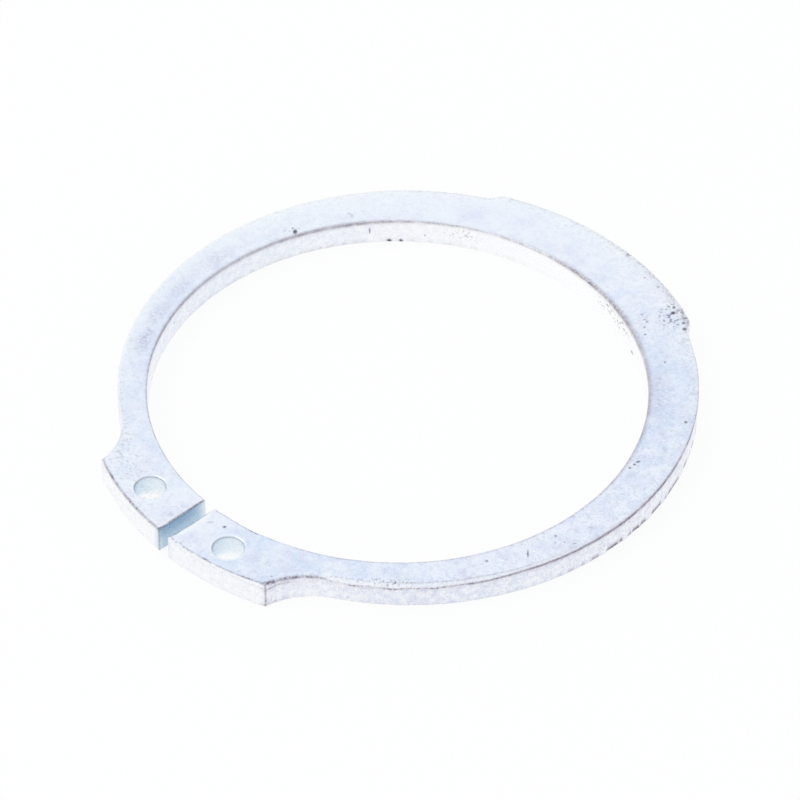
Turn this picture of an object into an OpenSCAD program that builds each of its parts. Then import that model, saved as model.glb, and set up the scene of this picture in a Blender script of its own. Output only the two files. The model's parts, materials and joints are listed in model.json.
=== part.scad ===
// External retaining ring for a shaft, stamped from flat spring steel.
// It lies on its flat lower face, z = 0, with the rolled (punch side) edges up.
// The shaft's axis is Z, the gap between the lugs is at -Y and the thick back is at +Y.

/* [Ring] */
// Free inner diameter, before the ring is sprung open
inner_d = 25.9; // [22:0.1:30]
// Thickness of the strip
thickness = 1.5; // [1:0.05:2.5]
// Radial width of the arm beside the lugs, where it is thinnest
arm_front_w = 1.35; // [1:0.01:1.8]
// Radial width of the arm at the back, under the raised pad
arm_back_w = 2.84; // [2.2:0.01:3.8]

/* [Back pad] */
// How far the pad stands out from the arm at the back
pad_rise = 0.38; // [0.15:0.01:0.7]
// Straight distance between the two ends of the pad's outer edge
pad_span = 14; // [10:0.1:17]
// Angle between the ramp at each end of the pad and the ring's centre line
ramp_angle = 30; // [15:1:50]

/* [Lugs] */
// Radial height of the lugs, from the inner edge
lug_h = 3.1; // [2.7:0.05:4]
// Straight distance between the two outer corners of the lugs
lug_span = 12.4; // [11:0.1:15]
// Width of the gap between the two lugs
gap_w = 0.7; // [0.4:0.05:2]
// Radius of the hollow between a lug's corner and the arm
shoulder_r = 4; // [2.5:0.1:6]
// How deep the hollow cuts into the arm's edge
shoulder_undercut = 0.02; // [0.01:0.01:0.1]

/* [Plier holes] */
// Diameter of the holes
hole_d = 1.6; // [1.2:0.05:2]
// Distance between the centres of the two holes
hole_spacing = 5.9; // [4.5:0.1:7]
// Wall between a hole and the lug's outer edge
hole_wall = 0.61; // [0.4:0.01:1]

/* [Edges] */
// Width of the rolled upper edge along the outside
outer_roll_w = 0.24; // [0.1:0.01:0.4]
// Depth of the rolled upper edge along the outside
outer_roll_d = 0.2; // [0.1:0.01:0.4]
// Width of the rolled upper edge along the bore, the holes and the gap
inner_roll_w = 0.12; // [0.06:0.01:0.2]
// Depth of the rolled upper edge along the bore, the holes and the gap
inner_roll_d = 0.1; // [0.06:0.01:0.2]
// Angle at which a rolled edge leaves the upper face
roll_lead = 8; // [4:1:15]
// Size of the small bevel along the lower edges
edge_break = 0.05; // [0.02:0.01:0.1]

/* [Hidden] */
$fn = 128;
over = 1; // how far a cutter runs past the upper and lower face
bite = 0.1; // how far a wall's relief runs into the open space beside it
zinc = [0.80, 0.85, 0.93];

inner_r = inner_d / 2;
arm_r = inner_r + (arm_front_w + arm_back_w) / 2;
arm_offset = (arm_back_w - arm_front_w) / 2;
arm_centre = [0, arm_offset];
pad_r = inner_r + arm_back_w + pad_rise;
lug_r = inner_r + lug_h;
hole_circle_r = lug_r - hole_wall - hole_d / 2;
hole_centre = [hole_spacing / 2, -height_on(hole_circle_r, hole_spacing / 2)];

// The hollow's circle goes through the lug's corner and cuts a little into the arm's circle.
// It is always somewhat wider than the step between the two.
lug_corner = [lug_span / 2, -height_on(lug_r, lug_span / 2)];
shoulder_step = norm(lug_corner - arm_centre) - arm_r + shoulder_undercut;
hollow_over_step = 1.2;
hollow_r = max(shoulder_r, hollow_over_step * shoulder_step / 2);
hollow_centre = meeting_point(arm_centre, arm_r + hollow_r - shoulder_undercut, lug_corner, hollow_r);

// The pad's ramps run straight down from its corners and end inside the arm
pad_corner = [pad_span / 2, height_on(pad_r, pad_span / 2)];
ramp_way = [sin(ramp_angle), -cos(ramp_angle)];
ramp_length = way_to_circle(pad_corner, ramp_way, arm_centre, arm_r);
pad_foot_y = (pad_corner + (ramp_length + over) * ramp_way).y;

// How high a circle of radius r stands at a distance x from its centre line
function height_on(r, x) = sqrt(r * r - x * x);

// Where a circle of radius ra round a meets one of radius rb round b, on the left going from a to b
function meeting_point(a, ra, b, rb) =
    let(
        across = b - a,
        distance = norm(across),
        along = (ra * ra - rb * rb + distance * distance) / (2 * distance),
        aside = sqrt(ra * ra - along * along),
        ahead = across / distance
    )
    a + along * ahead + aside * [-ahead.y, ahead.x];

// How far it is from p, along the way given, to the circle of radius r round c
function way_to_circle(p, way, c, r) =
    let(nearest = -(p - c) * way)
    nearest - sqrt(nearest * nearest + r * r - (p - c) * (p - c));

// Radius of the arc that leaves the upper face at roll_lead, w inside the wall, and meets the wall d below
function roll_r(w, d) = (w * w + d * d) / (2 * (d * cos(roll_lead) - w * sin(roll_lead)));

// What the rolled upper edge and the bevelled lower edge take off a wall at x = 0, with the metal at x < 0
module wall_relief(w, d) {
    translate([0, thickness])
        difference() {
            translate([-w, -d]) square([w + bite, d + over]);
            translate([-w, 0] - roll_r(w, d) * [sin(roll_lead), cos(roll_lead)]) circle(roll_r(w, d));
        }
    polygon([[-edge_break, -over], [-edge_break, 0], [0, edge_break], [bite, edge_break], [bite, -over]]);
}

// What stands beyond a wall at x = 0, out to a given reach, with the relief along its edges
module beyond_wall(reach, w, d) {
    translate([0, -over]) square([reach, thickness + 2 * over]);
    wall_relief(w, d);
}

// Round plate with relieved outer edges
module plate(r) {
    rotate_extrude()
        difference() {
            square([r, thickness]);
            translate([r, 0]) wall_relief(outer_roll_w, outer_roll_d);
        }
}

// Cutter for a round hole with relieved edges
module hole_cutter(r, w, d) {
    rotate_extrude() {
        translate([0, -over]) square([r, thickness + 2 * over]);
        translate([r, 0]) mirror([1, 0]) wall_relief(w, d);
    }
}

// Cutter for everything on the far side of a straight wall that runs along y at x = 0
module straight_cutter(length, reach, w, d) {
    rotate([90, 0, 0])
        linear_extrude(length, center = true) beyond_wall(reach, w, d);
}

// The eccentric plate whose edge is the outside of both arms
module arm_plate() {
    translate(arm_centre) plate(arm_r);
}

// The raised stretch of the outer edge at the back, with a ramp at each end
module back_pad() {
    difference() {
        intersection() {
            plate(pad_r);
            translate([-pad_r, pad_foot_y, 0]) cube([2 * pad_r, 2 * pad_r, thickness]);
        }
        for (side = [0, 1])
            mirror([side, 0, 0])
                translate(pad_corner)
                    rotate(ramp_angle) straight_cutter(2 * pad_r, pad_r, outer_roll_w, outer_roll_d);
    }
}

// Both lugs in one sector, as wide as the line from the arm's centre to each hollow's centre
module lug_sector() {
    reach = hollow_centre + (hollow_centre - arm_centre);
    intersection() {
        plate(lug_r);
        linear_extrude(thickness) polygon([arm_centre, reach, [-reach.x, reach.y]]);
    }
}

// The hollow behind each lug and the hole in each lug
module lug_cutters() {
    for (side = [0, 1])
        mirror([side, 0, 0]) {
            translate(hollow_centre) hole_cutter(hollow_r, outer_roll_w, outer_roll_d);
            translate(hole_centre) hole_cutter(hole_d / 2, inner_roll_w, inner_roll_d);
        }
}

// The gap between the lugs, from the bore out past their outer edge
module gap_cutter() {
    translate([0, -lug_r, 0])
        for (side = [0, 1])
            mirror([side, 0, 0])
                translate([-gap_w / 2, 0, 0])
                    straight_cutter(2 * (lug_h + over), gap_w / 2, inner_roll_w, inner_roll_d);
}

module retaining_ring() {
    color(zinc)
        difference() {
            union() {
                arm_plate();
                back_pad();
                lug_sector();
            }
            hole_cutter(inner_r, inner_roll_w, inner_roll_d);
            lug_cutters();
            gap_cutter();
        }
}

retaining_ring();
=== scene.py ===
"""Zinc-plated external retaining ring, dressed and lit for its picture.

The ring is one closed surface. A wall profile, with a rounded lower edge and a rolled upper edge, is
carried round the ring's outline and round its two plier holes, and the flat faces are grids laid between
the edges of those walls. Lengths are millimetres where a name says nothing else, and a mesh is made in
metres.
"""

from __future__ import annotations

import json
import logging
import math
from dataclasses import dataclass, field
from enum import Enum, IntEnum
from typing import Any

import bpy
import numpy as np
from mathutils import Matrix, Vector


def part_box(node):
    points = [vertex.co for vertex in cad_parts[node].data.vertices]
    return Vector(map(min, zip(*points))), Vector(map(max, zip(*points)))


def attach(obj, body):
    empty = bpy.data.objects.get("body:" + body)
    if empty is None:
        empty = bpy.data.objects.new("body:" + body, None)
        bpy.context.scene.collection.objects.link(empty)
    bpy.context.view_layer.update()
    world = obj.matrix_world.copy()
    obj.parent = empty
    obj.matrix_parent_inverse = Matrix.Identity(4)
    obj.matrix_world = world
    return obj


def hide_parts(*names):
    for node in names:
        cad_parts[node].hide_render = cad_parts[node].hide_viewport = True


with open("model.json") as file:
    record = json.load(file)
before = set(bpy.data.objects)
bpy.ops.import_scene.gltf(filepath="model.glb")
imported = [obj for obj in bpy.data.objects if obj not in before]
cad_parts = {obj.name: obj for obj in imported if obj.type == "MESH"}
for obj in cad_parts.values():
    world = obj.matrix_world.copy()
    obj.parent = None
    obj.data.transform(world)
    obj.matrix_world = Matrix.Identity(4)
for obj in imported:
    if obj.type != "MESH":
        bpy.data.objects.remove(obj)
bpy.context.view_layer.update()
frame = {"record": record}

log = logging.getLogger("retaining_ring")

NODE = "retaining_ring"
BODY = "root"
UV_MAP = "run_and_rise"
MM = 0.001

# Edge values that a wall hands on to the finish
WALL_VALUES = ("breaks", "grey", "grit", "cool", "sky")
# Inputs of the node for a smooth step, in the order in which they are given
SHIFT_INPUTS = ("Value", "From Min", "From Max", "To Min", "To Max")
# Colour about which a noise swings
NOISE_MIDDLE = (0.5, 0.5, 0.5)
# Shares of a mark's half size at which it starts to fade and is gone
MARK_EDGE = (0.2, 1.5)

Array = np.ndarray
Colour = tuple[float, float, float, float]
Values = tuple[float, ...]
Span = tuple[float, float]
Step = tuple[Span, Span]
Socket = bpy.types.NodeSocket


class Stretch(IntEnum):
    """Stretches of the outline in their order round the ring, counter-clockwise seen from above."""

    RIGHT_GAP_END = 0
    RIGHT_LUG = 1
    RIGHT_HOLLOW = 2
    RIGHT_ARM = 3
    RIGHT_RAMP = 4
    PAD = 5
    LEFT_RAMP = 6
    LEFT_ARM = 7
    LEFT_HOLLOW = 8
    LEFT_LUG = 9
    LEFT_GAP_END = 10
    BORE = 11


class MarkKind(Enum):
    """What a mark on the plating is."""

    PIT = "pit"
    # Smudges, some of them painted shade.
    SMUDGE = "smudge"
    SCRATCH = "scratch"
    SPECKS = "specks"


@dataclass(frozen=True)
class EdgeForm:
    """How the metal was sheared along a stretch. A value holds evenly spaced stations along it.

    The roll is the rounded upper edge, in mm. The line is the dark crease along it, at a share of the way
    up the roll, the trace a second, thinner one, and breaks how mottled they are. Both lines are painted
    shade, partly edge wear, and the shine is a painted highlight along the roll. The value grey is painted
    shade on the sheared wall and grit how specked the wall is. The value cool is the painted steel blue of
    a wall that reflects dark surroundings, and sky the painted light blue of a wall that reflects the sky.
    The two blues set in on the way up to the height foot, in mm. Burr is how torn the lower edge is, and
    corner how dark the painted shade is on the upright edge where the stretch starts.
    """

    roll_w: Values
    roll_d: Values
    line: Values = (0.0,)
    line_at: Values = (0.1,)
    line_w: Values = (0.05,)
    trace: Values = (0.0,)
    trace_at: Values = (0.9,)
    breaks: Values = (0.5,)
    shine: Values = (0.0,)
    shine_at: Values = (0.5,)
    grey: Values = (0.0,)
    grit: Values = (0.2,)
    cool: Values = (0.0,)
    sky: Values = (0.0,)
    foot: Values = (0.01,)
    burr: Values = (0.0,)
    corner: Values = (0.0,)

    def along(self, name: str, share: Array) -> Array:
        """Returns one of the values at the given shares of the way along the stretch."""
        stations = getattr(self, name)
        return np.interp(share, np.linspace(0.0, 1.0, len(stations)), stations)


# Along each stretch the line, the trace and the upright edge are painted shade, partly edge wear, the shine
# is a painted highlight, the dull wall tint is painted shade and the two blue tints are painted
# reflections.
EDGES: dict[Stretch, EdgeForm] = {
    Stretch.RIGHT_GAP_END: EdgeForm(
        roll_w=(0.38,), roll_d=(0.16,), shine=(0.9,), shine_at=(0.6,), grey=(0.2,), cool=(0.6,)
    ),
    Stretch.RIGHT_LUG: EdgeForm(
        roll_w=(0.12, 0.13, 0.15), roll_d=(0.13, 0.16, 0.21), line=(0.36, 0.70, 0.58),
        line_at=(0.65, 0.75, 0.85), line_w=(0.06,), trace=(0.0, 0.08, 0.25), trace_at=(0.0,),
        shine=(0.2, 0.8, 1.0), shine_at=(0.25, 0.35, 0.4), grey=(0.21,), grit=(0.05,),
    ),
    Stretch.RIGHT_HOLLOW: EdgeForm(
        roll_w=(0.26, 0.26, 0.24), roll_d=(0.34,), line=(1.0, 0.9, 0.75, 0.65), line_at=(0.7, 0.5, 0.35),
        line_w=(0.10, 0.10, 0.09, 0.06), trace=(0.8, 0.5, 0.1, 0.0), trace_at=(0.1,),
        breaks=(0.5, 0.6, 0.4), grey=(0.5, 0.35), grit=(0.5, 0.3), burr=(0.7, 0.1, 0.0), corner=(0.8,),
    ),
    Stretch.RIGHT_ARM: EdgeForm(
        roll_w=(0.24, 0.25, 0.23, 0.20, 0.16, 0.10, 0.10),
        roll_d=(0.40, 0.36, 0.22, 0.16, 0.10, 0.06, 0.06),
        line=(0.65, 0.85, 0.92, 0.84, 0.92, 0.64, 0.45),
        line_w=(0.05, 0.055, 0.07, 0.09, 0.075, 0.06, 0.06),
        trace=(0.40, 0.45, 0.2, 0.0, 0.0, 0.0, 0.0),
        trace_at=(0.75,),
        breaks=(0.9, 0.7, 0.2, 0.2, 0.3, 0.5, 0.5),
        shine=(0.5, 0.3, 0.1, 0.0, 0.0, 0.0, 0.0),
        grey=(0.45, 0.58, 0.50, 0.48, 0.48, 0.38, 0.38),
        grit=(0.25, 0.35, 0.4, 0.8, 0.8, 0.7, 0.4),
        burr=(0.0, 0.0, 0.05, 1.0, 1.0, 1.0, 0.6),
    ),
    Stretch.RIGHT_RAMP: EdgeForm(
        roll_w=(0.14,), roll_d=(0.12,), line=(0.4,), line_at=(0.7,), line_w=(0.08,), grey=(0.5,)
    ),
    Stretch.PAD: EdgeForm(
        roll_w=(0.14, 0.10, 0.12), roll_d=(0.10, 0.07, 0.08),
        line=(0.30, 0.24, 0.17, 0.12), line_at=(0.8,), line_w=(0.40, 0.22, 0.14, 0.13),
        breaks=(0.9, 0.8, 0.6, 0.5), grey=(0.4,),
    ),
    Stretch.LEFT_RAMP: EdgeForm(roll_w=(0.12,), roll_d=(0.10,), line=(0.2,), line_at=(0.6,), grey=(0.3,)),
    Stretch.LEFT_ARM: EdgeForm(
        roll_w=(0.10, 0.10, 0.14, 0.20, 0.24, 0.26, 0.26),
        roll_d=(0.06, 0.06, 0.08, 0.13, 0.18, 0.26, 0.30),
        line=(0.14, 0.14, 0.08, 0.0, 0.0, 0.0, 0.2),
        line_at=(0.7,),
        line_w=(0.10, 0.10, 0.08, 0.05, 0.05, 0.05, 0.05),
        breaks=(0.7,),
        grey=(0.3,),
        burr=(0.2, 0.4, 0.2, 0.1),
    ),
    Stretch.LEFT_HOLLOW: EdgeForm(
        roll_w=(0.26,), roll_d=(0.30,), line=(0.2, 0.4), line_at=(0.6,), grey=(0.3,)
    ),
    Stretch.LEFT_LUG: EdgeForm(
        roll_w=(0.11,), roll_d=(0.12,), line=(0.60, 0.68, 0.62), line_at=(0.6,), line_w=(0.085,),
        grey=(0.10,), grit=(0.05,), cool=(0.03,),
    ),
    Stretch.LEFT_GAP_END: EdgeForm(
        roll_w=(0.09,), roll_d=(0.09,), line=(0.85,), line_at=(0.6,), line_w=(0.07,),
        grit=(0.0,), cool=(0.95, 1.0, 0.85), corner=(0.5,),
    ),
    Stretch.BORE: EdgeForm(
        roll_w=(0.08, 0.09, 0.12, 0.14, 0.15, 0.08, 0.12, 0.16, 0.10, 0.10, 0.14, 0.14, 0.12),
        roll_d=(0.08, 0.09, 0.12, 0.14, 0.15, 0.08, 0.12, 0.16, 0.10, 0.10, 0.14, 0.14, 0.12),
        line=(
            0.42, 0.48, 0.52, 0.58, 0.66, 0.60, 0.53, 0.60, 0.68, 0.56, 0.50, 0.46, 0.74,
            0.70, 0.58, 0.54, 0.52, 0.50, 0.42, 0.38, 0.35, 0.33, 0.33, 0.35, 0.38,
        ),
        line_at=(0.6, 0.5, 0.3, 0.25, 0.25, 0.3, 0.3, 0.25, 0.4, 0.7, 0.85, 0.85, 0.8),
        line_w=(0.05, 0.06, 0.10, 0.12, 0.13, 0.07, 0.14, 0.20, 0.17, 0.08, 0.05, 0.05, 0.05),
        breaks=(0.5, 0.4, 0.2, 0.2, 0.3, 0.5, 0.45, 0.3, 0.3, 0.6, 0.5, 0.5, 0.5),
        shine=(0.0, 0.0, 0.0, 0.0, 0.2, 0.9, 0.6, 0.2, 0.0, 0.0, 0.0, 0.0, 0.0),
        shine_at=(0.05,),
        grey=(0.28, 0.33, 0.42, 0.42, 0.32, 0.14, 0.0, 0.04, 0.1, 0.2, 0.28, 0.28, 0.28),
        grit=(0.2, 0.2, 0.15, 0.12, 0.2, 0.08, 0.0, 0.12, 0.2, 0.3, 0.3, 0.2, 0.2),
        cool=(0.0, 0.03, 0.06, 0.06, 0.03, 0.0, 0.0, 0.0, 0.0, 0.0, 0.0, 0.0, 0.0),
        burr=(0.0, 0.0, 0.05, 0.15, 0.25, 0.16, 0.0, 0.0, 0.0, 0.0, 0.0, 0.0, 0.0),
    ),
}
# Round a hole the line is painted shade, the shine a painted highlight and the two blue tints painted
# reflections, each stronger on some sides of the hole.
HOLE_EDGE = EdgeForm(
    roll_w=(0.13,), roll_d=(0.12,), line=(0.1, 0.1, 0.2, 0.35, 0.45, 0.5, 0.3, 0.2, 0.1), line_at=(0.1,),
    line_w=(0.06,), shine=(0.55, 0.4, 0.35, 0.4, 0.5, 0.65, 0.9, 1.0, 0.55), shine_at=(0.75,), grit=(0.0,),
    cool=(0.0, 0.0, 0.05, 0.12, 0.25, 0.45, 0.3, 0.1, 0.0),
    sky=(0.12, 0.2, 0.35, 0.5, 0.65, 0.65, 0.5, 0.25, 0.12), foot=(0.7,),
)


@dataclass(frozen=True)
class Nick:
    """Place where the upper edge is knocked in, with how far it reaches and how deep it goes, in mm."""

    x: float
    y: float
    reach: float
    bite: float


NICKS: list[Nick] = [
    Nick(10.76, 11.13, 0.16, 0.10),
    Nick(6.79, 14.62, 0.25, 0.08),
    Nick(7.20, 13.94, 0.20, 0.06),
    Nick(1.09, 16.07, 0.18, 0.06),
    Nick(-1.86, -15.99, 0.16, 0.09),
    Nick(2.85, -12.66, 0.20, 0.05),
    Nick(3.15, -12.56, 0.12, 0.04),
    Nick(13.00, -0.31, 0.14, 0.05),
    Nick(-12.55, 8.53, 0.20, 0.04),
    Nick(6.33, -14.75, 0.25, 0.06),
]


@dataclass(frozen=True)
class FaceWearAndHighlight:
    """How the upper face differs round the ring, at even turns counter-clockwise from the gap.

    Wear is how grainy the plating is, tone how pale it is, fade how much a painted highlight whitens it
    towards the outer edge and speckle how spotted it is there.
    """

    wear: Values = (0.3, 0.6, 0.8, 0.9, 1.0, 0.9, 0.45, 0.35, 0.6, 0.9, 0.9, 0.6)
    tone: Values = (
        1.3, 0.20, 0.55, 0.65, 0.85, 0.95, 0.75, 0.75, 0.40, 0.10, 0.45, 0.65,
        0.9, 1.0, 1.0, 1.5, 1.4, 0.95, 0.55, 0.25, 0.05, 0.15, 0.45, 0.6,
    )
    fade: Values = (0.15, 0.0, 0.0, 0.0, 0.15, 0.6, 0.9, 0.75, 1.0, 1.0, 0.9, 0.4)
    speckle: Values = (0.05, 0.1, 0.1, 0.1, 0.15, 0.3, 0.25, 0.16, 0.16, 0.12, 0.15, 0.25)

    def at(self, name: str, points: Array) -> Array:
        """One of the values at the turn of each point.

        Args:
            name: the value's name.
            points: points of the ring.

        Returns:
            The value, straight between the turns where it is given.
        """
        stations = getattr(self, name)
        turn = np.degrees(np.arctan2(points[:, 1], points[:, 0])) + 90.0
        return np.interp(turn, np.arange(len(stations)) * 360.0 / len(stations), stations, period=360.0)


@dataclass(frozen=True)
class Line:
    """Straight stretch of an outline, with the metal on its left."""

    start: Array
    end: Array

    @property
    def length(self) -> float:
        """Length of the stretch."""
        return float(np.linalg.norm(self.end - self.start))

    def sample(self, share: Array) -> tuple[Array, Array]:
        """Points along the line, from start to end, and the outward normal, square to its right.

        Args:
            share: shares of the way along it.

        Returns:
            Points and unit normals, one row for each share.
        """
        way = (self.end - self.start) / self.length
        points = self.start + share[:, None] * (self.end - self.start)
        normals = np.tile([way[1], -way[0]], (len(share), 1))
        return points, normals


@dataclass(frozen=True)
class Arc:
    """Round stretch of an outline. Turning clockwise, its metal lies outside the circle."""

    centre: Array
    radius: float
    first: float
    last: float

    @classmethod
    def between(cls, centre: Array, start: Array, end: Array, clockwise: bool = False) -> Arc:
        """Arc round a centre from one point to another.

        Args:
            centre: centre of the circle.
            start: point where the arc begins, which sets the radius.
            end: point where it ends.
            clockwise: which way it turns.

        Returns:
            The arc, with angles that only rise, or only fall if it turns clockwise.
        """
        first = math.atan2(*(start - centre)[::-1])
        last = math.atan2(*(end - centre)[::-1])
        full = 2.0 * math.pi
        turn = -((first - last) % full) if clockwise else (last - first) % full
        return cls(centre, float(np.linalg.norm(start - centre)), first, first + turn)

    @property
    def length(self) -> float:
        """Length of the stretch."""
        return self.radius * abs(self.last - self.first)

    def sample(self, share: Array) -> tuple[Array, Array]:
        """Points on the circle at evenly turning angles, with normals along the radius.

        Args:
            share: shares of the way along the arc.

        Returns:
            Points and unit outward normals, which face the centre on a clockwise arc.
        """
        angle = self.first + share * (self.last - self.first)
        radial = np.stack([np.cos(angle), np.sin(angle)], axis=1)
        return self.centre + self.radius * radial, radial * math.copysign(1.0, self.last - self.first)


@dataclass
class Outline:
    """Closed run of plan points and, at each, how a wall is set in from it and how it was sheared."""

    points: Array
    mitre: Array
    run: Array
    edge: dict[str, Array]
    start: dict[Stretch, int] = field(default_factory=dict)

    def closed(self, values: Array) -> Array:
        """Repeats the first point's value after the last."""
        return np.concatenate([values, values[:1]])


@dataclass
class Surface:
    """Grid of points with the values that the finish reads, and whether its faces turn over."""

    points: Array
    run: Array
    rise: Array
    values: dict[str, Array]
    flip: bool = False

    def quads(self) -> Array:
        """Corner numbers of the grid's faces.

        Returns:
            Four numbers for each face, in the order that makes it face outwards.
        """
        rows, columns = self.points.shape[:2]
        number = np.arange(rows * columns).reshape(rows, columns)
        ring = [number[:-1, :-1], number[1:, :-1], number[1:, 1:], number[:-1, 1:]]
        if self.flip:
            ring.reverse()
        return np.stack(ring, axis=-1).reshape(-1, 4)


@dataclass(frozen=True)
class Ripples:
    """Smooth random ripples: a sum of plane waves with random directions and starts."""

    seed: int
    longest: float
    shortest: float
    count: int = 24

    def at(self, x: Array, y: Array) -> Array:
        """Height of the ripples, from about -1 to 1.

        Args:
            x: places along x in millimetres.
            y: places along y.

        Returns:
            The sum of the waves at each place, over the square root of their number.
        """
        draw = np.random.default_rng(self.seed)
        length = np.exp(draw.uniform(math.log(self.shortest), math.log(self.longest), self.count))
        angle = draw.uniform(0.0, 2.0 * math.pi, self.count)
        start = draw.uniform(0.0, 2.0 * math.pi, self.count)
        wave_x = 2.0 * math.pi / length * np.cos(angle)
        wave_y = 2.0 * math.pi / length * np.sin(angle)
        phase = x[..., None] * wave_x + y[..., None] * wave_y + start
        return np.sin(phase).sum(axis=-1) / math.sqrt(self.count)


@dataclass(frozen=True)
class Shearing:
    """How uneven the sheared edges came out, and the bands of shade along the walls.

    The slow and quick ripples swell the rolls and break the lines, by the shares given. The crests of the
    dashes are torn places of the lower edge, which bite deeper into the wall. The trace's width is a share
    of the line's, and the width of the shine, a painted highlight, a share of the roll. A wall gets a
    little painted shade just under its roll and along its foot, and its two painted blue reflections set in
    between two shares of the height foot. The swell is how the flat upper face rises and falls.
    """

    slow: Ripples = Ripples(seed=5, longest=6.0, shortest=1.5)
    quick: Ripples = Ripples(seed=9, longest=1.2, shortest=0.35)
    dashes: Ripples = Ripples(seed=33, longest=1.8, shortest=0.28, count=36)
    swell: Ripples = Ripples(seed=21, longest=6.0, shortest=1.2)
    roll_slow: float = 0.10
    roll_quick: float = 0.06
    line_slow: float = 0.3
    line_quick: float = 0.4
    foot_quick: float = 0.25
    torn_gain: float = 3.0
    torn_lift: float = 0.25
    torn_bite: float = 0.09
    torn_rise: float = 0.05
    torn_w: float = 0.13
    trace_share: float = 0.7
    shine_share: float = 0.35
    border: float = 0.25
    border_drop: float = 0.05
    border_w: float = 0.15
    foot_w: float = 0.10
    blue_from: float = 0.4
    blue_over: float = 0.3
    swell_depth: float = 0.004
    swell_steep: float = 5.0


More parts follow.
